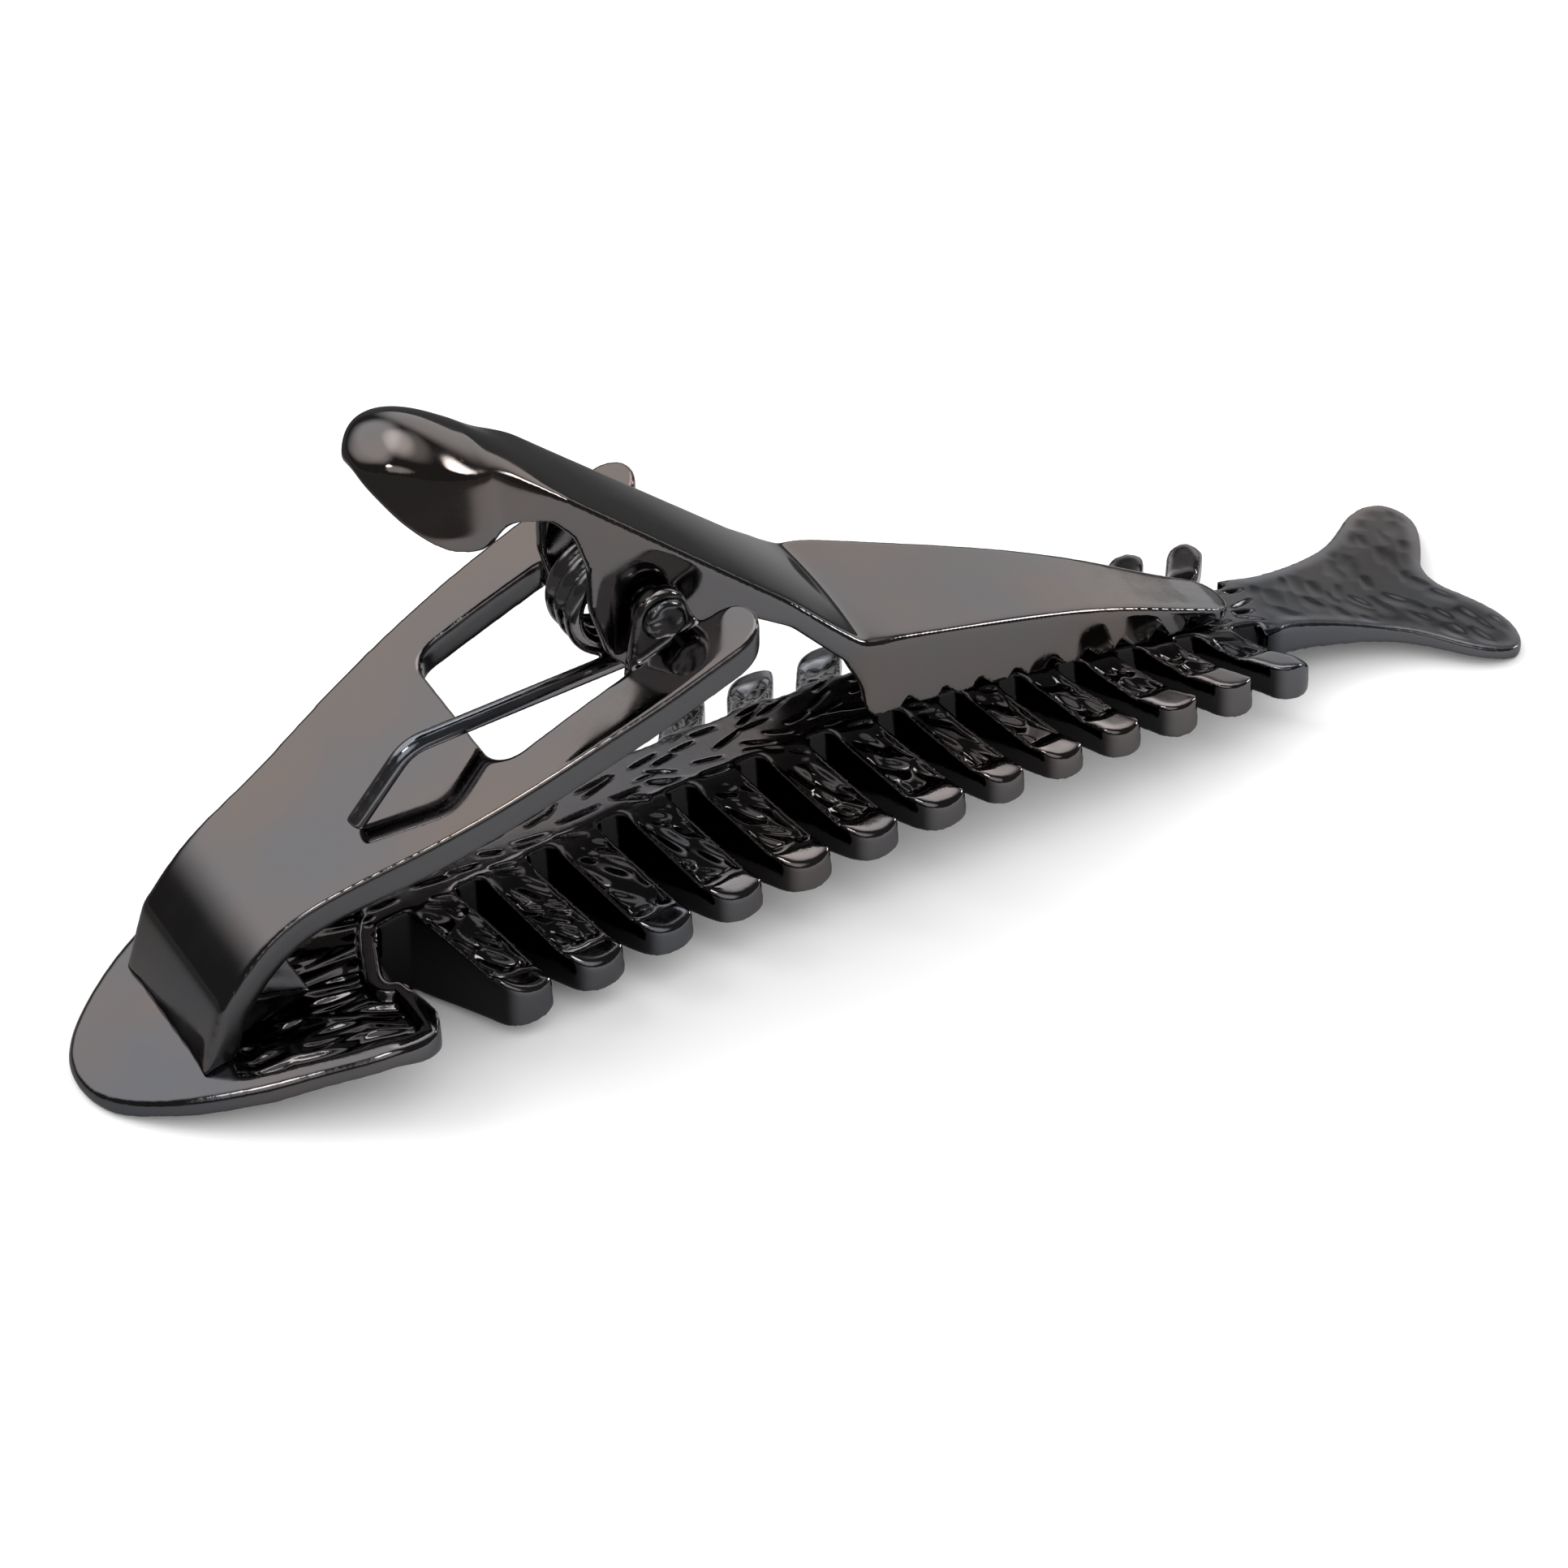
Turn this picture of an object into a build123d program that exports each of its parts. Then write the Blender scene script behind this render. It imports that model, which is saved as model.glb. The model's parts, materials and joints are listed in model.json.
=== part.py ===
"""Fish-bone alligator hair clip: cast fish plate, sprung bracket and lever jaw.

Frame: +X toward the tail, +Y across the clip, +Z up from the rest plane.
Lengths are drawn from the hinge pin; the finished pieces are then moved along
X so that the origin is the middle of the clip's length on the rest plane.
The decorated side of the plate faces down, and its concave arch stands on the
nose and on the two tail lobes.
"""
import os
from math import cos, hypot, pi, radians, sin, tan

from build123d import *

os.makedirs("parts", exist_ok=True)

# ---------------------------------------------------------------- dimensions
# hinge
hinge_height = 21.4
pin_radius = 0.75
pin_head_radius = 1.2
pin_head_height = 0.45
ear_hole_clearance = 0.02
lever_hole_clearance = 0.05

# fish plate
spine_half_width = 1.75
rib_count = 13
rib_pitch_head_end = 4.0
rib_pitch_tail_end = 3.56
rib_gap = 1.5
middle_rib = 6
middle_root_x = 13.3
middle_tip_x = 16.25
rib_tip_radius = 0.9
spine_start_x = -15.0
spine_end_x = 39.0

# bracket strip
strip_thickness = 1.8
fork_root_x = -9.3
fork_half_width = 4.75
fork_corner_radius = 1.3
prong_tip_x = 4.2
prong_tip_radius = 1.6
ear_thickness = 1.0
ear_radius = 1.5
ear_inner_y = 3.75
ear_root_points = [(-2.0, 17.5), (2.4, 19.3)]
prong_shoulder_length = 1.4
foot_tab_half_width = 3.0
solder_half_width = 3.7
seat_gap = 0.03

# lever
lever_thickness = 0.8
tooth_count = 9
tooth_pitch = 2.3
tooth_depth = 0.65
tooth_width = 1.7
first_tooth_x = 13.9

# torsion spring
wire_radius = 0.5
coil_radius = 2.9
coil_centre_x = -0.15
coil_centre_z = 19.9
coil_half_span = 1.74
coil_whole_turns = 3
lower_leg_angle = -89.5
upper_leg_angle = 47.7
upper_leg_length = 9.0
lower_leg_bend_x = -13.1
lower_leg_end_x = -16.2
lower_leg_end_z = 13.15
leg_bend_radius = 2.0

# half depth and height of the blocks that outlines are cut from
reach = 14.0
tall = 60.0
below = -3.0
side_plane = Plane.XZ.offset(-reach)


def shifted(points, distance):
    """Points of a side line moved square to the line, to its lower side."""
    moved = []
    for i, (x, z) in enumerate(points):
        before = points[max(i - 1, 0)]
        after = points[min(i + 1, len(points) - 1)]
        run = after[0] - before[0]
        rise = after[1] - before[1]
        length = hypot(run, rise)
        moved.append((x + distance * rise / length, z - distance * run / length))
    return moved


# ---------------------------------------------------------------- fish plate
# cross sections: x, ridge height, ridge half width, edge half width, edge drop,
# underside height
plate_stations = [
    (-32.5, 0.5, 2.0, 8.5, 0.2, -0.55),
    (-28.5, 1.75, 2.6, 8.5, 0.4, 0.4),
    (-23.5, 3.3, 3.0, 9.5, 0.6, 1.5),
    (-18.0, 4.8, 2.6, 11.0, 0.1, 3.4),
    (-15.05, 5.45, 2.1, 11.0, 0.8, 3.1),
    (-14.0, 5.65, 1.9, 9.7, 3.4, 0.1),
    (-7.5, 6.5, 1.7, 8.2, 4.5, 1.1),
    (-0.5, 7.3, 1.7, 8.1, 4.4, 2.1),
    (7.5, 7.68, 1.7, 7.9, 4.0, 2.7),
    (15.5, 7.43, 1.7, 7.8, 3.4, 3.15),
    (23.5, 6.58, 1.7, 7.4, 2.6, 3.1),
    (30.5, 5.35, 1.7, 7.0, 1.35, 2.6),
    (37.5, 3.8, 1.7, 6.6, 0.55, 1.7),
    (43.5, 2.3, 2.4, 9.0, 0.5, 1.1),
    (48.0, 1.45, 3.0, 9.5, 0.5, 0.4),
    (52.5, 0.45, 3.0, 9.5, 0.5, -0.75),
]

head_outline = [
    (-31.05, 0.0),
    (-30.4, 2.4),
    (-28.6, 4.4),
    (-24.7, 6.8),
    (-20.4, 8.8),
    (-16.9, 10.0),
    (-15.4, 9.6),
    (-15.1, 7.8),
    (-15.6, 5.2),
    (-15.4, 2.8),
]
tail_outline = [
    (38.2, 2.3),
    (41.6, 3.0),
    (45.2, 4.7),
    (48.0, 6.8),
    (49.6, 6.9),
    (50.4, 5.5),
    (49.9, 3.4),
    (48.8, 1.5),
    (48.3, 0.0),
]


def rib_tip_y(k):
    """Half width of the body at the tip of rib k."""
    u = (k - middle_rib) / middle_rib
    return 7.15 - 0.85 * u - 0.4 * u * u


def rib_shift(k):
    """Distance along the spine from the middle rib to rib k."""
    step = k - middle_rib
    return step * (rib_pitch_head_end if step <= 0 else rib_pitch_tail_end)


def station_loft(raised):
    """Solid through all plate cross sections, its top raised by a small step."""
    sections = []
    for x, ridge_z, ridge, edge, drop, underside in plate_stations:
        section_plane = Plane(origin=(x, 0, 0), x_dir=(0, 1, 0), z_dir=(1, 0, 0))
        with BuildSketch(section_plane) as section:
            with BuildLine():
                Polyline(
                    (-edge, underside),
                    (edge, underside),
                    (edge, ridge_z - drop + raised),
                    (ridge, ridge_z + raised),
                    (-ridge, ridge_z + raised),
                    (-edge, ridge_z - drop + raised),
                    close=True,
                )
            make_face()
        sections.append(section.sketch)
    loft(sections, ruled=True)


def half_head():
    with BuildLine() as edge:
        Spline(*head_outline, tangents=[(0, 1), (0.4, -1)])
        Polyline(
            head_outline[-1],
            (spine_start_x, spine_half_width),
            (spine_start_x, 0),
            head_outline[0],
        )
    make_face(edge.edges())


def half_tail():
    with BuildLine() as edge:
        Spline(*tail_outline, tangents=[(1, 0.1), (-0.1, -1)])
        Polyline(tail_outline[-1], (36.5, 0.0), (36.5, 2.6), tail_outline[0])
    make_face(edge.edges())


def half_ribs():
    for k in range(rib_count):
        tip_y = rib_tip_y(k)
        left = rib_shift(k - 1) + rib_gap
        right = rib_shift(k)
        lean = (middle_tip_x - middle_root_x) / (tip_y - spine_half_width)
        head_corner = (middle_tip_x + left - lean * rib_tip_radius, tip_y - rib_tip_radius)
        tail_corner = (middle_tip_x + right - 0.2 * lean, tip_y - 0.6 * rib_tip_radius)
        with BuildLine() as edge:
            Polyline(
                tail_corner,
                (middle_root_x + right, spine_half_width),
                (middle_root_x + right, 0),
                (middle_root_x + left, 0),
                (middle_root_x + left, spine_half_width),
                head_corner,
            )
            ThreePointArc(head_corner, (middle_tip_x + (left + right) / 2, tip_y), tail_corner)
        make_face(edge.edges())


with BuildPart() as fish_plate:
    station_loft(0.0)
    with BuildSketch(Plane.XY.offset(below)):
        half_head()
        half_tail()
        half_ribs()
        with Locations(((spine_start_x + spine_end_x) / 2, 0)):
            Rectangle(spine_end_x - spine_start_x, 2 * spine_half_width)
        mirror(about=Plane.XZ)
    extrude(amount=tall, mode=Mode.INTERSECT)
    # the nose and the tail lobes end in small flat lands on the rest plane
    with Locations((0, 0, -reach / 2)):
        Box(2 * tall, 2 * reach, reach, mode=Mode.SUBTRACT)
    fish_plate.part.label = "fish_plate"

# -------------------------------------------------------- spring bracket strip
# side line of the strip's upper face, foot to prong tips
strip_line = [
    (-26.25, 2.1),
    (-24.95, 6.35),
    (-21.65, 9.95),
    (-18.2, 11.75),
    (-6.1, 17.25),
    (4.2, 21.55),
]
strip_tangents = [(1, 1.35), (1, 0.42)]
# half width of the strip along X
strip_outline = [
    (-28.0, 4.6),
    (-24.9, 4.7),
    (-20.4, 4.8),
    (-14.2, 6.3),
    (-8.2, 7.5),
    (-2.2, 8.05),
    (prong_tip_x - prong_tip_radius, 8.1),
]
foot_tab = [
    (-25.4, 1.9),
    (-25.2, 3.7),
    (-21.0, 5.0),
    (-21.0, 3.0),
]

with BuildPart() as plate_cover:
    station_loft(seat_gap)

with BuildPart() as spring_bracket:
    strip_under = shifted(strip_line, strip_thickness)
    with BuildSketch(side_plane):
        with BuildLine():
            Line(strip_line[0], strip_line[1])
            Spline(*strip_line[1:], tangents=strip_tangents)
            Line(strip_line[-1], strip_under[-1])
            Spline(
                *reversed(strip_under[1:]),
                tangents=[(-dx, -dz) for dx, dz in reversed(strip_tangents)],
            )
            Line(strip_under[1], strip_under[0])
            Line(strip_under[0], strip_line[0])
        make_face()
    extrude(amount=2 * reach)
    prong_outer_y = strip_outline[-1][1]
    prong_base_x = strip_outline[-1][0]
    with BuildSketch(Plane.XY.offset(below)) as strip_plan:
        with BuildLine():
            Polyline((strip_outline[0][0], 0), strip_outline[0], strip_outline[1])
            Spline(*strip_outline[1:], tangents=[(1, 0), (1, 0)])
            ThreePointArc(
                strip_outline[-1],
                (prong_tip_x, prong_outer_y - prong_tip_radius),
                (prong_base_x, prong_outer_y - 2 * prong_tip_radius),
            )
            Polyline(
                (prong_base_x, prong_outer_y - 2 * prong_tip_radius),
                (prong_base_x - prong_shoulder_length, fork_half_width),
                (fork_root_x, fork_half_width),
                (fork_root_x, 0),
                (strip_outline[0][0], 0),
            )
        make_face()
        mirror(about=Plane.XZ)
        fork_corners = strip_plan.vertices().filter_by(
            lambda v: abs(v.X - fork_root_x) < 0.01 and abs(v.Y) > 1.0
        )
        fillet(fork_corners, fork_corner_radius)
    extrude(amount=tall, mode=Mode.INTERSECT)
    # ears: small plates standing on the fork's inner edges
    for side in (1, -1):
        with BuildSketch(Plane.XZ.offset(-side * ear_inner_y)):
            with BuildLine():
                Polyline(
                    (-ear_radius, hinge_height),
                    *ear_root_points,
                    (ear_radius, hinge_height),
                )
                ThreePointArc(
                    (ear_radius, hinge_height),
                    (0, hinge_height + ear_radius),
                    (-ear_radius, hinge_height),
                )
            make_face()
        extrude(amount=-side * ear_thickness)
    with BuildSketch(side_plane):
        with Locations((0, hinge_height)):
            Circle(pin_radius + ear_hole_clearance)
    extrude(amount=2 * reach, mode=Mode.SUBTRACT)
    # tab of the foot, turned inward under the strip and lying on the head
    with BuildSketch(Plane.XZ.offset(-foot_tab_half_width)):
        with BuildLine():
            Polyline(*foot_tab, close=True)
        make_face()
    extrude(amount=2 * foot_tab_half_width)
    add(plate_cover.part, mode=Mode.SUBTRACT)
    spring_bracket.part.label = "spring_bracket"

# ----------------------------------------------------------------- solder joint
solder_side = [
    (-25.0, 2.0),
    (-23.9, 5.2),
    (-22.9, 5.7),
    (-19.5, 4.7),
    (-19.2, 3.4),
]

with BuildPart() as solder_joint:
    with BuildSketch(Plane.XZ.offset(-solder_half_width)):
        with BuildLine():
            Polyline(*solder_side, close=True)
        make_face()
    extrude(amount=2 * solder_half_width)
    add(plate_cover.part, mode=Mode.SUBTRACT)
    add(spring_bracket.part, mode=Mode.SUBTRACT)
    solder_joint.part.label = "solder_joint"

# ------------------------------------------------------------------ jaw lever
pad_line = [
    (-14.3, 33.5),
    (-13.2, 34.5),
    (-11.1, 34.7),
    (-8.35, 33.15),
    (-5.8, 30.95),
]
jaw_line = [
    (11.4, 15.25),
    (18.7, 12.7),
    (27.6, 9.1),
    (34.3, 5.6),
]
web_line = pad_line + jaw_line
pad_tangents = [(1, 0.9), (1, -0.91)]
jaw_tangents = [(1, -0.34), (1, -0.5)]
pad_centre_x = -10.2
pad_radius = 4.1
lever_outline = [
    (-9.5, 3.6),
    (-6.8, 3.0),
    (-2.1, 3.15),
    (7.7, 3.55),
    (11.2, 4.7),
    (12.4, 4.75),
    (21.6, 3.4),
    (34.3, 1.45),
]
jaw_tip_x = 35.4
jaw_nose = (35.5, 4.95)
lever_underside = [
    (34.4, 4.7),
    (12.95, 10.0),
    (11.75, 10.4),
    (11.15, 12.35),
    (10.45, 13.95),
    (7.8, 16.8),
    (4.35, 19.1),
    (2.15, 18.95),
    (1.1, 17.6),
    (0.1, 17.2),
    (-1.0, 17.35),
    (-2.25, 18.75),
    (-3.1, 21.75),
    (-3.1, 24.35),
    (-3.8, 26.7),
    (-5.05, 28.3),
    (-7.0, 29.3),
    (-9.2, 29.75),
    (-11.2, 30.55),
    (-13.0, 31.7),
    (-14.0, 32.7),
]


def lever_plan(inset):
    """Whole lever outline seen from above, drawn inset from its edge."""
    far = [(x, y - inset) for x, y in lever_outline]
    near = [(x, -y) for x, y in reversed(far)]
    with BuildLine() as edge:
        Polyline(near[-1], far[0])
        Polyline(*far)
        if inset > 0:
            Line(far[-1], near[0])
        else:
            ThreePointArc(far[-1], (jaw_tip_x, 0), near[0])
        Polyline(*near)
    make_face(edge.edges())
    with Locations((pad_centre_x, 0)):
        Circle(pad_radius - inset)


with BuildPart() as lever_hollow:
    inner_line = shifted(web_line, lever_thickness)
    neck_start = len(pad_line) - 1
    neck_end = len(pad_line)
    with BuildSketch(side_plane):
        with BuildLine():
            Spline(*inner_line[: neck_start + 1], tangents=pad_tangents)
            Line(inner_line[neck_start], inner_line[neck_end])
            Spline(*inner_line[neck_end:], tangents=jaw_tangents)
            Polyline(
                inner_line[-1],
                (inner_line[-1][0], 0),
                (-reach - 6.0, 0),
                (-reach - 6.0, inner_line[0][1]),
                inner_line[0],
            )
        make_face()
    extrude(amount=2 * reach)
    with BuildSketch(Plane.XY.offset(below)):
        lever_plan(lever_thickness)
    extrude(amount=tall, mode=Mode.INTERSECT)

with BuildPart() as jaw_lever:
    with BuildSketch(side_plane):
        with BuildLine():
            Spline(*pad_line, tangents=pad_tangents)
            Line(pad_line[-1], jaw_line[0])
            Spline(*jaw_line, tangents=jaw_tangents)
            Polyline(jaw_line[-1], jaw_nose, *lever_underside[:2])
            Spline(*lever_underside[1:6], tangents=[(-1, 0.25), (-1, 1.0)])
            Polyline(*lever_underside[5:])
            Line(lever_underside[-1], pad_line[0])
        make_face()
    extrude(amount=2 * reach)
    with BuildSketch(Plane.XY.offset(below)):
        lever_plan(0.0)
    extrude(amount=tall, mode=Mode.INTERSECT)
    # hollow from below, leaving the web and the side flanges
    add(lever_hollow.part, mode=Mode.SUBTRACT)
    # serrated grip edge
    grip_end, grip_start = lever_underside[:2]
    grip_slope = (grip_end[1] - grip_start[1]) / (grip_end[0] - grip_start[0])
    for i in range(tooth_count):
        x = first_tooth_x + i * tooth_pitch
        z = grip_start[1] + grip_slope * (x - grip_start[0])
        with BuildSketch(side_plane):
            with BuildLine():
                Polyline(
                    (x - tooth_width / 2, z - 0.3),
                    (x, z + tooth_depth),
                    (x + tooth_width / 2, z - 0.3),
                    close=True,
                )
            make_face()
        extrude(amount=2 * reach, mode=Mode.SUBTRACT)
    with BuildSketch(side_plane):
        with Locations((0, hinge_height)):
            Circle(pin_radius + lever_hole_clearance)
    extrude(amount=2 * reach, mode=Mode.SUBTRACT)
    jaw_lever.part.label = "jaw_lever"

# ------------------------------------------------------------------ hinge pin
with BuildPart() as hinge_pin:
    head_base = ear_inner_y + ear_thickness + 0.03
    with BuildSketch(Plane.XZ.offset(-head_base)):
        with Locations((0, hinge_height)):
            Circle(pin_radius)
    extrude(amount=2 * head_base)
    for side in (1, -1):
        with BuildSketch(Plane.XZ.offset(-side * head_base)):
            with Locations((0, hinge_height)):
                Circle(pin_head_radius)
        extrude(amount=-side * pin_head_height)
    rims = hinge_pin.edges().filter_by(
        lambda e: abs(abs(e.center().Y) - head_base - pin_head_height) < 0.01
    )
    fillet(rims, 0.8 * pin_head_height)
    hinge_pin.part.label = "hinge_pin"

# ------------------------------------------------------------- torsion spring
start = radians(lower_leg_angle)
finish = radians(upper_leg_angle)
turns = coil_whole_turns + (upper_leg_angle - lower_leg_angle) / 360.0
coil_pitch = 2 * coil_half_span / turns
climb = coil_pitch / (2 * pi)


def coil_point(angle, y):
    """Point of the wire's centre line on the coil."""
    x = coil_centre_x + coil_radius * cos(angle)
    return Vector(x, y, coil_centre_z + coil_radius * sin(angle))


def coil_direction(angle):
    """Unit direction of the wire along the coil."""
    return Vector(-coil_radius * sin(angle), climb, coil_radius * cos(angle)).normalized()


with BuildPart() as torsion_spring:
    coil_start = coil_point(start, -coil_half_span)
    coil_end = coil_point(finish, coil_half_span)
    leave = coil_direction(start) * -1
    corner = coil_start + leave * ((lower_leg_bend_x - coil_start.X) / leave.X)
    rest = Vector(lower_leg_end_x, corner.Y, lower_leg_end_z)
    fall = (rest - corner).normalized()
    half_bend = radians(leave.get_angle(fall)) / 2
    setback = leg_bend_radius * tan(half_bend)
    bend_start = corner - leave * setback
    bend_end = corner + fall * setback
    inward = (fall - leave).normalized()
    bend_middle = corner + inward * leg_bend_radius * (1 / cos(half_bend) - 1)
    leg_way = Vector(-sin(finish), 0, cos(finish))
    leg_end = coil_end + leg_way * upper_leg_length
    coil_plane = Plane(
        origin=(coil_centre_x, -coil_half_span, coil_centre_z),
        x_dir=(cos(start), 0, sin(start)),
        z_dir=(0, 1, 0),
    )
    coil = Helix(coil_pitch, 2 * coil_half_span, coil_radius, lefthand=True, mode=Mode.PRIVATE)
    with BuildLine() as wire_path:
        Line(rest, bend_end)
        ThreePointArc(bend_end, bend_middle, bend_start)
        Line(bend_start, coil_start)
        add(coil.moved(coil_plane.location))
        Spline(coil_end, leg_end, tangents=[coil_direction(finish), leg_way])
    with BuildSketch(Plane(origin=rest, z_dir=-1 * fall)):
        Circle(wire_radius)
    sweep(path=wire_path.wires()[0])
    torsion_spring.part.label = "torsion_spring"

# the hinge pin ends up this far behind the middle of the clip's length
plate_box = fish_plate.part.bounding_box()
middle_x = (plate_box.min.X + plate_box.max.X) / 2

for built in (
    fish_plate,
    spring_bracket,
    solder_joint,
    jaw_lever,
    hinge_pin,
    torsion_spring,
):
    placed = built.part.moved(Location((-middle_x, 0, 0)))
    placed.label = built.part.label
    export_step(placed, f"parts/{placed.label}.step")
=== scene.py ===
"""Looks of the fish-skeleton alligator hair clip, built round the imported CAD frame."""

import json
import math
from types import SimpleNamespace

import bpy
import numpy as np
from mathutils import Matrix, Vector
from mathutils.kdtree import KDTree


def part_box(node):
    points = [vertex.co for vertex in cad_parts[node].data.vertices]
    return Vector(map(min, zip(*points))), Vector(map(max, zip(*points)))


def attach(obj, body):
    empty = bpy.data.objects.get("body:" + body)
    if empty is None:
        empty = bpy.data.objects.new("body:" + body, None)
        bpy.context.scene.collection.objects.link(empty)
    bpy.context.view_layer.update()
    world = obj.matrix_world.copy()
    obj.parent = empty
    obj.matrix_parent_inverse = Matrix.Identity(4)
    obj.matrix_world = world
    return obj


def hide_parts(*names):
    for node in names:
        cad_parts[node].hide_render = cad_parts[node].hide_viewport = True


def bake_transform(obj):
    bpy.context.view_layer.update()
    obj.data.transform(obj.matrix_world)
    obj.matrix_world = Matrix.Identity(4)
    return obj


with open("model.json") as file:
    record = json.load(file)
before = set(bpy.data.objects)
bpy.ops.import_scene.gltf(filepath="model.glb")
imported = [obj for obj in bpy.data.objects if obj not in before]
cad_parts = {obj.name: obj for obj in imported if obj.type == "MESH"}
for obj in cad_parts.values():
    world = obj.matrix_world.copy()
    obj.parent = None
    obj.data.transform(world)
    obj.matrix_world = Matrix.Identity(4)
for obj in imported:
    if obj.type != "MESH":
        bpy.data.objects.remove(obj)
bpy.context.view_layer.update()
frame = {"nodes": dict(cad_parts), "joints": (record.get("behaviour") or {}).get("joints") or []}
MM = 0.001
hinge_x = frame["joints"][0]["pos_m"][0] / MM
scene = bpy.context.scene


def detail(full):
    return full


# ------------------------------------------------------------------ mesh tools
def remeshed(node, name, voxel):
    """A copy of a CAD node with an even skin of small quads, voxel mm wide.

    The skin's grid is turned to odd angles, so that no long edge runs along it.
    """
    turn = Matrix.Rotation(0.61, 4, "X") @ Matrix.Rotation(0.47, 4, "Y") @ Matrix.Rotation(0.83, 4, "Z")
    obj = bpy.data.objects.new(name, frame["nodes"][node].data.copy())
    obj.data.transform(turn)
    scene.collection.objects.link(obj)
    modifier = obj.modifiers.new("skin", "REMESH")
    modifier.mode = "VOXEL"
    modifier.voxel_size = voxel * MM
    depsgraph = bpy.context.evaluated_depsgraph_get()
    mesh = bpy.data.meshes.new_from_object(obj.evaluated_get(depsgraph))
    mesh.transform(turn.inverted())
    obj.modifiers.clear()
    obj.data = mesh
    mesh.name = name
    return obj


def positions(mesh):
    co = np.empty(len(mesh.vertices) * 3, np.float32)
    mesh.vertices.foreach_get("co", co)
    return co.reshape(-1, 3).astype(float)


def set_positions(mesh, co):
    mesh.vertices.foreach_set("co", co.astype(np.float32).ravel())
    mesh.update()


def normals(mesh):
    out = np.empty(len(mesh.vertices) * 3, np.float32)
    mesh.vertex_normals.foreach_get("vector", out)
    return out.reshape(-1, 3).astype(float)


def relax(mesh, passes, weight=1.0):
    """Laplacian smoothing; weight is one number or one per vertex."""
    edges = np.empty(len(mesh.edges) * 2, np.int32)
    mesh.edges.foreach_get("vertices", edges)
    a, b = edges.reshape(-1, 2).T
    co = positions(mesh)
    share = np.broadcast_to(np.asarray(weight, float), (len(co),))
    moving = np.nonzero(share > 0.001)[0]
    row = np.full(len(co), -1)
    row[moving] = np.arange(len(moving))
    # every edge both ways, kept where its first end moves
    near, far = np.concatenate([a, b]), np.concatenate([b, a])
    kept = row[near] >= 0
    near, far = row[near[kept]], far[kept]
    degree = np.maximum(np.bincount(near, minlength=len(moving)), 1)
    pull = 0.5 * share[moving]
    columns = [co[:, axis].copy() for axis in range(3)]
    for _ in range(passes):
        for column in columns:
            mean = np.bincount(near, column[far], len(moving)) / degree
            column[moving] += (mean - column[moving]) * pull
    set_positions(mesh, np.stack(columns, 1))


def step(low, high, x):
    """Smooth rise from 0 at low to 1 at high."""
    t = np.clip((x - low) / (high - low), 0, 1)
    return t * t * (3 - 2 * t)


def waves(co, size, seed):
    """Smooth seeded unevenness between about -1 and 1; size is the swell's length."""
    count = 14
    rng = np.random.default_rng(seed)
    total = np.zeros(len(co))
    for _ in range(count):
        way = rng.normal(size=3)
        way /= np.linalg.norm(way)
        length = size * rng.uniform(0.7, 1.8)
        total += np.sin(co @ way * (2 * math.pi / length) + rng.uniform(0, 6.3))
    return total / math.sqrt(count)


def roughen(mesh, size, seed, height):
    """Push the skin in and out by waves of a height in mm, one number or one per vertex."""
    co = positions(mesh)
    co += normals(mesh) * (waves(co * 1000, size, seed) * height * MM)[:, None]
    set_positions(mesh, co)


def finish_piece(obj, mat, body, node):
    """Give a piece its material and smooth shading, hide the CAD node it stands in for, and attach it to the
    body that carries it, if any.
    """
    obj.data.materials.clear()
    obj.data.materials.append(mat)
    obj.data.polygons.foreach_set("use_smooth", np.ones(len(obj.data.polygons), bool))
    obj.data.update()
    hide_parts(node)
    if body:
        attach(obj, body)


# ------------------------------------------------------------------ node trees
class Tree:
    """Short words for building a node tree."""

    def __init__(self, owner):
        owner.use_nodes = True
        self.nodes, self.links = owner.node_tree.nodes, owner.node_tree.links

    def fill(self, node, inputs):
        """Link an input to a socket, or set it to a value."""
        for name, value in inputs.items():
            if isinstance(value, bpy.types.NodeSocket):
                self.links.new(value, node.inputs[name])
            else:
                node.inputs[name].default_value = value

    def add(self, kind, inputs=None, **settings):
        node = self.nodes.new("ShaderNode" + kind)
        for name, value in settings.items():
            setattr(node, name, value)
        self.fill(node, inputs or {})
        return node

    def spread(self, value, from_low, from_high, to_low, to_high, kind="LINEAR"):
        """A value moved from one range to another."""
        inputs = {"From Min": from_low, "From Max": from_high, "To Min": to_low, "To Max": to_high}
        return self.add("MapRange", inputs | {"Value": value}, interpolation_type=kind).outputs["Result"]

    def total(self, first, second):
        return self.add("Math", {0: first, 1: second}, operation="ADD").outputs["Value"]

    def mix(self, factor, first, second):
        inputs = {"Factor": factor, "A": first, "B": second}
        return self.add("Mix", inputs, data_type="RGBA").outputs["Result"]


# ---------------------------------------------------------------------- metal
WARM = (1.08, 0.98, 0.94)
COOL = (0.92, 0.97, 1.06)
SHEARED = (0.72, 0.76, 0.82)
BLACK = (0.0, 0.0, 0.0, 1.0)


def tinted(tone, by):
    return (*(a * b for a, b in zip(tone, by)), 1.0)


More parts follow.
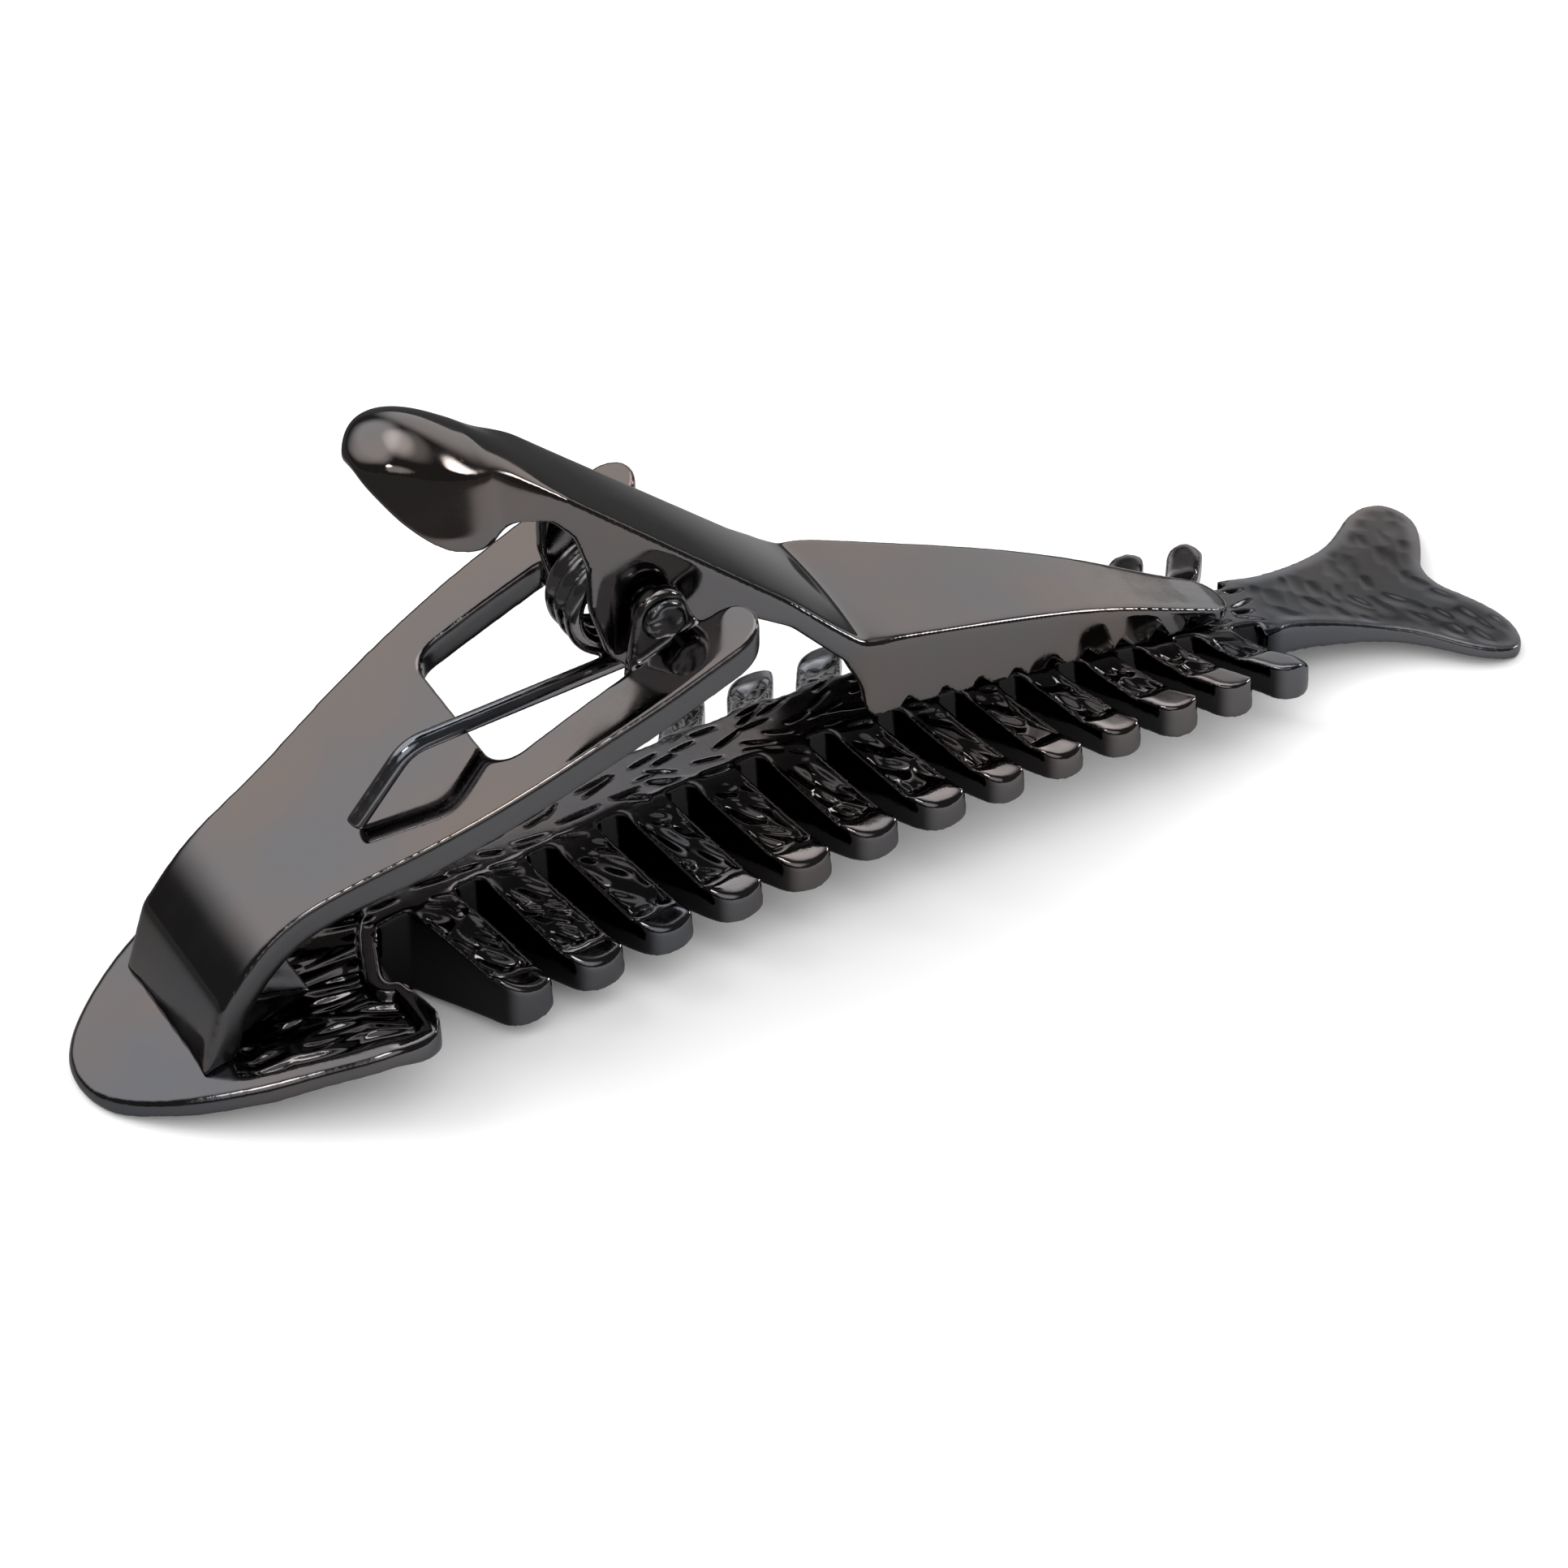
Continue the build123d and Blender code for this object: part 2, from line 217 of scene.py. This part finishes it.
def metal(name, tone, rough, seed, swell=0.0, grain=0.02, scratch=0.0, cut=0.0, cast=False):
    """Polished dark plating: reflections broken by smudges, pits and fine scratches.

    cut is the extra roughness of sheared sheet edges, which face sideways.  A cast
    piece carries two vertex layers: one of painted shade, which darkens its hollows,
    walls and dark tops toward black, and one of satin.
    """
    mat = bpy.data.materials.new(name)
    tree = Tree(mat)
    shader = tree.nodes["Principled BSDF"]
    coords = tree.add("TexCoord")
    place = tree.add("Mapping", {
        "Vector": coords.outputs["Object"],
        "Scale": (1000.0, 1000.0, 1000.0),
        "Location": (seed, seed * 2.0, seed * 3.0),
    }).outputs["Vector"]

    def noise(scale, octaves=3.0, vector=place):
        return tree.add("TexNoise", {"Scale": scale, "Detail": octaves, "Vector": vector}).outputs["Fac"]

    def layer(name):
        return tree.add("Attribute", attribute_name=name).outputs["Fac"]

    # plating tint drifts a little between warm and cool
    drift = tree.spread(noise(0.11), 0.35, 0.65, 0.0, 1.0)
    tint = tree.mix(drift, tinted(tone, WARM), tinted(tone, COOL))
    # smudges and polishing haze
    haze = tree.spread(noise(0.45, 5.0), 0.38, 0.72, rough * 0.6, rough * 1.7)
    if cut:
        sides = tree.add("SeparateXYZ", {"Vector": coords.outputs["Normal"]})
        aside = tree.add("Math", {0: sides.outputs["Y"]}, operation="ABSOLUTE").outputs["Value"]
        sheared = tree.spread(aside, 0.6, 0.8, 0.0, 1.0)
        tint = tree.mix(sheared, tint, tinted(tone, SHEARED))
        haze = tree.total(haze, tree.spread(sheared, 0.0, 1.0, 0.0, cut))
    # painted shade: the cast piece's base colour is mixed toward black by its vertex layer of painted shade
    if cast:
        tint = tree.mix(layer("painted_shade"), BLACK, tint)
        haze = tree.total(haze, layer("satin"))

    # pits, orange peel and hairline scratches
    height = tree.spread(noise(9.0, 2.0), 0.0, 1.0, 0.0, grain)
    height = tree.total(height, tree.spread(noise(0.9, 2.0), 0.0, 1.0, 0.0, swell))
    if scratch:
        drawn = tree.add("Mapping", {
            "Vector": place,
            "Scale": (0.25, 16.0, 6.0),
            "Rotation": (0.1, 0.2, 0.5),
        }).outputs["Vector"]
        height = tree.total(height, tree.spread(noise(1.0, 2.0, drawn), 0.66, 0.72, 0.0, -scratch))
    bump = tree.add("Bump", {"Strength": 0.35, "Distance": 0.2 * MM, "Height": height})
    tree.fill(shader, {
        "Metallic": 1.0,
        "Base Color": tint,
        "Roughness": haze,
        "Normal": bump.outputs["Normal"],
    })
    return mat


cast_metal = metal(
    "cast_black_nickel", (0.18, 0.178, 0.182), rough=0.09, seed=3.1, swell=0.2, grain=0.03, cast=True
)
strip_metal = metal(
    "strip_black_nickel",
    (0.2, 0.188, 0.182),
    rough=0.085,
    seed=7.7,
    swell=0.02,
    grain=0.008,
    scratch=0.006,
    cut=0.16,
)
lever_metal = metal(
    "lever_black_nickel",
    (0.195, 0.186, 0.183),
    rough=0.085,
    seed=12.9,
    swell=0.02,
    grain=0.008,
    scratch=0.008,
)
wire_metal = metal(
    "wire_black_nickel", (0.3, 0.3, 0.31), rough=0.12, seed=19.3, swell=0.04, grain=0.03, scratch=0.03
)
pin_metal = metal("pin_black_nickel", (0.16, 0.155, 0.15), rough=0.14, seed=23.9, swell=0.3, grain=0.08)
# painted shade: the solder joint gets a near-black tone, darker than the plating, because it sits in shade
solder_painted_shade_metal = metal("solder_black_nickel_painted_shade", (0.06, 0.06, 0.065), rough=0.2, seed=31.3, swell=0.4, grain=0.06)


# ----------------------------------------------------------------- fish plate
# sizes in mm, along the fish from the hinge and across it from the middle plane
HEAD_LENGTH = 15.8
TAIL_LENGTH = 13.2
# where the nose's smooth land ends, from the nose, and where the spine turns into ribs
NOSE_LAND_END = (6.2, 7.4)
SPINE_EDGE = (2.0, 2.9)
RIB_MIDDLE = 4.9
RIB_HALF = 2.8
LONGEST_RIB_X = 16.25
LONGEST_RIB_TIP = 7.15
# the rib tips follow two arcs, one ahead of the longest rib and one behind it
FRONT_ARC = 24.0
REAR_ARC = 21.4
LAND_LENGTH = 1.5
HEAD_DEPTH = 0.42
TROUGH_DEPTH = 0.2
LAND_RISE = 0.3
# how much of the metal's tone the painted shade takes away
HEAD_PAINTED_SHADE = 0.55
BACK_PAINTED_SHADE = 0.5
TAIL_PAINTED_SHADE = 0.6
WALL_PAINTED_SHADE = 0.8
# the upward part of a normal: a wall has less than STEEP, the top more than LEVEL
STEEP = 0.3
LEVEL = 0.45


class Marks:
    """Height map of tool marks over the plate, in mm, stamped one dent at a time."""

    cell = 0.06

    def __init__(self, low, high, seed):
        self.low = np.array([low[0] - hinge_x, low[1]])
        size = (np.array([high[0] - hinge_x, high[1]]) - self.low) / self.cell
        self.height = np.zeros((int(size[0]) + 2, int(size[1]) + 2))
        self.rng = np.random.default_rng(seed)

    def dent(self, x, y, half_length, half_width, angle, depth):
        reach = half_length + half_width
        i0, j0 = ((np.array([x, y]) - reach - self.low) / self.cell).astype(int)
        i1, j1 = ((np.array([x, y]) + reach - self.low) / self.cell).astype(int) + 1
        i0, j0 = max(i0, 0), max(j0, 0)
        i1, j1 = min(i1, self.height.shape[0]), min(j1, self.height.shape[1])
        if i1 <= i0 or j1 <= j0:
            return
        gx = self.low[0] + np.arange(i0, i1)[:, None] * self.cell - x
        gy = self.low[1] + np.arange(j0, j1)[None, :] * self.cell - y
        u = (gx * math.cos(angle) + gy * math.sin(angle)) / half_length
        v = (-gx * math.sin(angle) + gy * math.cos(angle)) / half_width
        # a slanted tool digs deeper on one side
        bowl = np.clip(1 - u * u, 0, 1) * np.clip(1 - v * v, 0, 1) * (1.0 + 0.7 * v)
        part = self.height[i0:i1, j0:j1]
        np.minimum(part, -depth * bowl, out=part)

    def field(self, x_range, y_range, spacing, half_length, half_width, angle, depth):
        """Scatter dents evenly with jitter over a box."""
        rng = self.rng
        for x in np.arange(x_range[0], x_range[1], spacing[0]):
            for y in np.arange(y_range[0], y_range[1], spacing[1]):
                side = 1 if y >= 0 else -1
                self.dent(
                    x + rng.uniform(-0.5, 0.5) * spacing[0],
                    y + rng.uniform(-0.5, 0.5) * spacing[1],
                    half_length * rng.uniform(0.7, 1.35),
                    half_width * rng.uniform(0.7, 1.3),
                    side * math.radians(angle) + rng.uniform(-0.3, 0.3),
                    depth * rng.uniform(0.45, 1.0),
                )

    def at(self, xy):
        """Height at each point, between the map's cells."""
        g = (xy - self.low) / self.cell
        g[:, 0] = np.clip(g[:, 0], 0, self.height.shape[0] - 1.001)
        g[:, 1] = np.clip(g[:, 1], 0, self.height.shape[1] - 1.001)
        i, j = g.astype(int).T
        fx, fy = (g - g.astype(int)).T
        h = self.height
        near = h[i, j] * (1 - fx) + h[i + 1, j] * fx
        far = h[i, j + 1] * (1 - fx) + h[i + 1, j + 1] * fx
        return near * (1 - fy) + far * fy


def distance_to_edge(mm, facing):
    """How far each point of the top or underside is from the nearest wall, in plan."""
    walls = np.nonzero(np.abs(facing[:, 2]) < STEEP)[0]
    tree = KDTree(len(walls))
    for k, v in enumerate(walls):
        tree.insert((mm[v, 0], mm[v, 1], 0), k)
    tree.balance()
    distance = np.zeros(len(mm))
    for v in np.nonzero(np.abs(facing[:, 2]) > STEEP)[0]:
        distance[v] = tree.find((mm[v, 0], mm[v, 1], 0))[2]
    return distance


plate_low, plate_high = (np.array(corner) * 1000 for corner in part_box("fish_plate"))
nose = plate_low[0] - hinge_x
tail = plate_high[0] - hinge_x
head_end = plate_low[0] + HEAD_LENGTH - hinge_x
ribs_end = plate_high[0] - TAIL_LENGTH - hinge_x


def plate_zones(x, y):
    """Masks from 0 to 1; x is in mm from the hinge and y in mm from the middle plane."""
    zone = SimpleNamespace()
    zone.head = 1 - step(head_end - 0.4, head_end + 0.2, x)
    zone.tail = step(ribs_end - 0.6, ribs_end + 0.6, x)
    zone.body = (1 - zone.head) * (1 - zone.tail)
    zone.ribs = zone.body * step(*SPINE_EDGE, y)
    u = (x - LONGEST_RIB_X) / np.where(x < LONGEST_RIB_X, FRONT_ARC, REAR_ARC)
    zone.rib_tip = LONGEST_RIB_TIP - 0.85 * u - 0.4 * u * u
    # the lands at the rib tips are longer toward the tail
    zone.land_start = zone.rib_tip - (LAND_LENGTH + 0.9 * step(18, 36, x))
    zone.tip_land = step(zone.land_start - 0.15, zone.land_start + 0.15, y) * zone.ribs
    zone.nose_land = 1 - step(nose + NOSE_LAND_END[0], nose + NOSE_LAND_END[1], x)
    return zone


def plate_marks():
    """Slits on the smooth back, facets in the head, barbs on the ribs and scales on the tail."""
    slits = Marks(plate_low, plate_high, 41)
    slits.field(
        (head_end - 3, ribs_end),
        (-3.4, 3.4),
        spacing=(2.1, 0.85),
        half_length=0.95,
        half_width=0.13,
        angle=14,
        depth=0.26,
    )
    facets = Marks(plate_low, plate_high, 42)
    facets.field(
        (nose + 3, head_end),
        (-9, 9),
        spacing=(2.3, 0.95),
        half_length=1.9,
        half_width=0.5,
        angle=24,
        depth=0.26,
    )
    barbs = Marks(plate_low, plate_high, 44)
    for side in (1, -1):
        barbs.field(
            (head_end, ribs_end),
            (side * RIB_MIDDLE - RIB_HALF, side * RIB_MIDDLE + RIB_HALF),
            spacing=(1.15, 0.95),
            half_length=1.0,
            half_width=0.36,
            angle=38,
            depth=0.36,
        )
    scales = Marks(plate_low, plate_high, 43)
    scales.field(
        (ribs_end - 1, tail),
        (-8, 8),
        spacing=(1.7, 1.15),
        half_length=0.85,
        half_width=0.5,
        angle=62,
        depth=0.09,
    )
    return slits, facets, barbs, scales


def height_over_floor(x, y, z):
    """0 on the lowest skin of the outer ribs at each station and 1 well above it."""
    columns = np.arange(nose, tail, 1.0)
    outer = y > 4.0
    lowest = [z[outer & (np.abs(x - c) < 1.5)].min(initial=9.0) for c in columns]
    return step(0.2, 1.6, z - np.interp(x, columns, lowest))


def shape_plate(mesh):
    """Bead, sunk floor, tool marks and lands, and the painted shade and polish that go with them."""
    co = positions(mesh)
    facing = normals(mesh)
    mm = co * 1000
    x, y = mm[:, 0] - hinge_x, np.abs(mm[:, 1])
    top = facing[:, 2] > LEVEL
    rim = distance_to_edge(mm, facing)
    zone = plate_zones(x, y)
    # the head's rim is a round bead
    relax(mesh, detail(80), zone.head * (1 - step(1.2, 2.0, rim)))
    co = positions(mesh)
    facing = normals(mesh)
    mm = co * 1000

    xy = np.stack([x, mm[:, 1]], 1)
    z = mm[:, 2]
    slits, facets, barbs, scales = plate_marks()
    carve = slits.at(xy) * zone.body * (1 - zone.ribs) * step(0.2, 0.5, rim)
    carve += barbs.at(xy) * zone.body * zone.ribs * (1 - zone.tip_land) * step(0.08, 0.3, rim)
    carve += facets.at(xy) * zone.head * (1 - zone.nose_land) * step(0.8, 1.3, rim)
    carve += scales.at(xy) * zone.tail * step(0.3, 0.9, rim)
    # sunk floor of the head inside its polished bead, shallow troughs in the ribs
    sunk = -HEAD_DEPTH * zone.head * step(0.85, 1.25, rim) * (1 - zone.nose_land)
    sunk -= TROUGH_DEPTH * zone.ribs * (1 - zone.tip_land)
    lift = np.where(top, carve + sunk, 0.0)
    # the underside has the slits more faintly
    under = facing[:, 2] < -LEVEL
    lift = np.where(under, 0.3 * slits.at(xy) * step(0.5, 1.0, rim) * step(0.3, 0.8, z), lift)
    # a slight flow of the casting, but not where the clip stands on the table
    flow = waves(mm, 6.0, 5) * 0.03 + waves(mm, 2.2, 6) * 0.008
    co += facing * ((lift + flow * step(0.05, 0.6, z)) * MM)[:, None]
    # the rib tips level out into small lands
    above = height_over_floor(x, y, z)
    raised = LAND_RISE * np.clip(y - zone.land_start, 0, 2.5) * zone.body * step(3.0, 4.0, y)
    co[:, 2] += raised * above * MM
    set_positions(mesh, co)
    relax(mesh, 1)
    relax(mesh, 22, zone.tip_land * step(0.3, 0.6, above))

    # painted shade darkens the head's hollow, the tops of the back and ribs, the tail's top, the rib walls
    # and the slits; the tail is also less polished
    wall = np.abs(facing[:, 2]) < LEVEL
    painted_shade = np.ones(len(mm))
    painted_shade -= HEAD_PAINTED_SHADE * zone.head * (1 - zone.nose_land) * step(0.6, 1.2, rim) * top
    painted_shade -= BACK_PAINTED_SHADE * zone.body * top * (1 - zone.tip_land) * (0.75 + 0.25 * zone.ribs)
    painted_shade -= TAIL_PAINTED_SHADE * zone.tail * step(0.3, 1.0, rim) * top
    painted_shade -= WALL_PAINTED_SHADE * zone.body * wall * step(0.15, 0.7, zone.rib_tip - y)
    # painted shade in the slits of the back, darker where a slit is deeper
    painted_shade = np.clip(painted_shade + 2.6 * np.minimum(carve, 0) * zone.body * (1 - zone.ribs), 0.1, 1)
    satin = 0.16 * zone.tail * top + 0.06 * zone.body * top * (1 - zone.ribs)
    for name, values in (("painted_shade", painted_shade), ("satin", satin)):
        attribute = mesh.attributes.new(name, "FLOAT", "POINT")
        attribute.data.foreach_set("value", values.astype(np.float32))


plate = remeshed("fish_plate", "cast_fish_plate", detail(0.1))
relax(plate.data, detail(18))
shape_plate(plate.data)
finish_piece(plate, cast_metal, "plate_and_bracket", "fish_plate")

# ------------------------------------------------------------- spring bracket
bracket = remeshed("spring_bracket", "forked_spring_bracket", detail(0.09))
relax(bracket.data, detail(56))
roughen(bracket.data, 14.0, 8, 0.012)
finish_piece(bracket, strip_metal, "plate_and_bracket", "spring_bracket")

# --------------------------------------------------------------- solder joint
solder = remeshed("solder_joint", "solder_fillet", 0.12)
roughen(solder.data, 1.6, 9, 0.09)
relax(solder.data, 30)
finish_piece(solder, solder_painted_shade_metal, "plate_and_bracket", "solder_joint")

# ------------------------------------------------------------------ jaw lever
lever_low, lever_high = (np.array(corner) * 1000 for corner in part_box("jaw_lever"))
pad_x = lever_low[0]
PAD_CROWN = 0.075
NECK_CROWN = 0.018
# the thumb pad's side walls: their height in mm and how far they draw in at the top
PAD_WALL = 3.5
PAD_TAPER = 0.26
# rise of the toothed edge from the jaw's tip toward the hinge
JAW_SLOPE = 0.247


def shape_lever(mesh):
    """Crown the pad and the neck, lean the pad's walls, and round all but the teeth."""
    co = positions(mesh)
    mm = co * 1000
    # the thumb pad is a spoon: crowned across, and its end rolls down
    in_pad = 1 - step(pad_x + 6.5, pad_x + 10.5, mm[:, 0])
    neck = step(pad_x + 4, pad_x + 12, mm[:, 0]) * (1 - step(pad_x + 24, pad_x + 28, mm[:, 0]))
    crown = -PAD_CROWN * mm[:, 1] ** 2 * in_pad
    crown -= NECK_CROWN * mm[:, 1] ** 2 * neck
    # and its side walls lean out toward their lower edge
    stations = np.arange(pad_x, pad_x + 12.0, 0.4)
    ridge = [mm[np.abs(mm[:, 0] - c) < 0.3, 2].max(initial=-1.0) for c in stations]
    drop = np.clip(np.interp(mm[:, 0], stations, ridge) - mm[:, 2], 0, PAD_WALL)
    co[:, 1] *= 1 - PAD_TAPER * in_pad * (1 - drop / PAD_WALL)
    co[:, 2] += crown * MM
    set_positions(mesh, co)
    # smoothing spares the teeth
    tooth_z = lever_low[2] + JAW_SLOPE * (lever_high[0] - 1.0 - mm[:, 0])
    toothed = step(20.0, 22.0, mm[:, 0] - pad_x) * (1 - step(0.8, 1.8, mm[:, 2] - tooth_z))
    relax(mesh, detail(48), 1 - 0.85 * toothed)


lever = remeshed("jaw_lever", "pressed_jaw_lever", detail(0.09))
shape_lever(lever.data)
roughen(lever.data, 16.0, 10, 0.014)
finish_piece(lever, lever_metal, "lever", "jaw_lever")

# ------------------------------------------------------------------ hinge pin
pin = remeshed("hinge_pin", "hinge_rivet", 0.1)
relax(pin.data, 4)
hammered = step(4.85, 5.0, np.abs(positions(pin.data)[:, 1] * 1000))
roughen(pin.data, 0.9, 12, 0.05 * hammered)
finish_piece(pin, pin_metal, "plate_and_bracket", "hinge_pin")

# ------------------------------------------------------------- torsion spring
spring = remeshed("torsion_spring", "torsion_spring_wire", 0.1)
relax(spring.data, 8)
finish_piece(spring, wire_metal, None, "torsion_spring")
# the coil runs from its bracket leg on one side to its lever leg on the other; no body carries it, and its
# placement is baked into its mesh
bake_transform(spring)


# --------------------------------------------------------------------- studio
PAPER = (0.93, 0.93, 0.93, 1)
# the mirrored paper's painted pool of light: its centre, the radii where the painted light starts
# and stops falling off, and its tone inside and outside them
PAINTED_POOL_CENTRE = (0.025, -0.037, 0)
PAINTED_POOL_RADII = (0.045, 0.105)
PAINTED_POOL_TONES = (0.4, 0.05)


def paper_floor():
    """White paper; the metal mirrors it with a painted pool of light in its colour, dim further out."""
    mesh = bpy.data.meshes.new("floor")
    mesh.from_pydata([(-3, -3, 0), (3, -3, 0), (3, 3, 0), (-3, 3, 0)], [], [(0, 1, 2, 3)])
    floor = bpy.data.objects.new("floor", mesh)
    scene.collection.objects.link(floor)
    paper = bpy.data.materials.new("floor_paper")
    tree = Tree(paper)
    path = tree.add("LightPath")
    where = tree.add("TexCoord")
    apart = tree.add("VectorMath", {0: where.outputs["Object"], 1: PAINTED_POOL_CENTRE}, operation="SUBTRACT")
    far = tree.add("VectorMath", {0: apart.outputs["Vector"]}, operation="LENGTH")
    # painted light: the paper's tone as the metal mirrors it, bright in a pool and dim further out
    painted_pool = tree.spread(far.outputs["Value"], *PAINTED_POOL_RADII, *PAINTED_POOL_TONES, "SMOOTHSTEP")
    tree.fill(tree.nodes["Principled BSDF"], {
        "Roughness": 0.9,
        "Specular IOR Level": 0.1,
        "Base Color": tree.mix(path.outputs["Is Glossy Ray"], PAPER, painted_pool),
    })
    mesh.materials.append(paper)


def studio_room(cards, dim):
    """White surroundings, which the metal mirrors as a dim room with round patches of light.

    A card is (azimuth, elevation, inner, outer, strength) in degrees, with azimuth 0 at
    +Y and 90 at +X; it is full inside inner and gone outside outer.
    """
    world = bpy.data.worlds.new("studio")
    scene.world = world
    tree = Tree(world)
    tree.nodes.clear()
    sight = tree.add("TexCoord")
    patches = []
    for azimuth, elevation, inner, outer, strength in cards:
        a, e = math.radians(azimuth), math.radians(elevation)
        way = (math.sin(a) * math.cos(e), math.cos(a) * math.cos(e), math.sin(e))
        dot = tree.add("VectorMath", {0: sight.outputs["Generated"], 1: way}, operation="DOT_PRODUCT")
        edge = (math.cos(math.radians(outer)), math.cos(math.radians(inner)))
        patches.append(tree.spread(dot.outputs["Value"], *edge, 0.0, strength, "SMOOTHSTEP"))
    light = patches[0]
    for patch in patches[1:]:
        light = tree.total(light, patch)
    room = tree.add("Background", {"Color": (1.0, 0.985, 0.97, 1), "Strength": tree.total(light, dim)})
    plain = tree.add("Background", {"Color": (1, 1, 1, 1), "Strength": 1.3})
    path = tree.add("LightPath")
    mix = tree.add("MixShader", {
        "Fac": path.outputs["Is Glossy Ray"],
        1: plain.outputs["Background"],
        2: room.outputs["Background"],
    })
    tree.add("OutputWorld", {"Surface": mix.outputs["Shader"]})


def softbox(name, where, size, power, target=(0, 0, 0.01)):
    """A soft light that throws shadows but isn't mirrored."""
    data = bpy.data.lights.new(name, "AREA")
    data.shape = "RECTANGLE"
    data.size, data.size_y = size
    data.energy = power
    obj = bpy.data.objects.new(name, data)
    scene.collection.objects.link(obj)
    obj.location = where
    obj.rotation_mode = "QUATERNION"
    obj.rotation_quaternion = (Vector(target) - Vector(where)).to_track_quat("-Z", "Y")
    obj.visible_glossy = False


paper_floor()
ROOM_CARDS = [
    (-22, 50, 26, 46, 1.0),
    (48, 8, 14, 34, 0.8),
    (72, 61, 12, 28, 0.4),
    (45, 71, 8, 27, 1.0),
    (95, 22, 5, 12, 7.0),
    (-120, 55, 4, 9, 6.0),
    (-150, 38, 10, 30, 0.75),
]
studio_room(ROOM_CARDS, dim=0.05)
softbox("key", where=(-0.3, 0.35, 0.5), size=(0.42, 0.34), power=1.6)

# --------------------------------------------------------------------- camera
camera_data = bpy.data.cameras.new("camera")
camera_data.lens = 172.4
camera_data.sensor_width = 36.0
camera_data.clip_start = 0.01
camera_data.clip_end = 20.0
camera = bpy.data.objects.new("camera", camera_data)
scene.collection.objects.link(camera)
camera.rotation_mode = "XYZ"
camera.location = (-0.138075, -0.257095, 0.255870)
camera.rotation_euler = (0.856623, 0.011110, -0.500661)
scene.camera = camera
scene.view_settings.view_transform = "Standard"
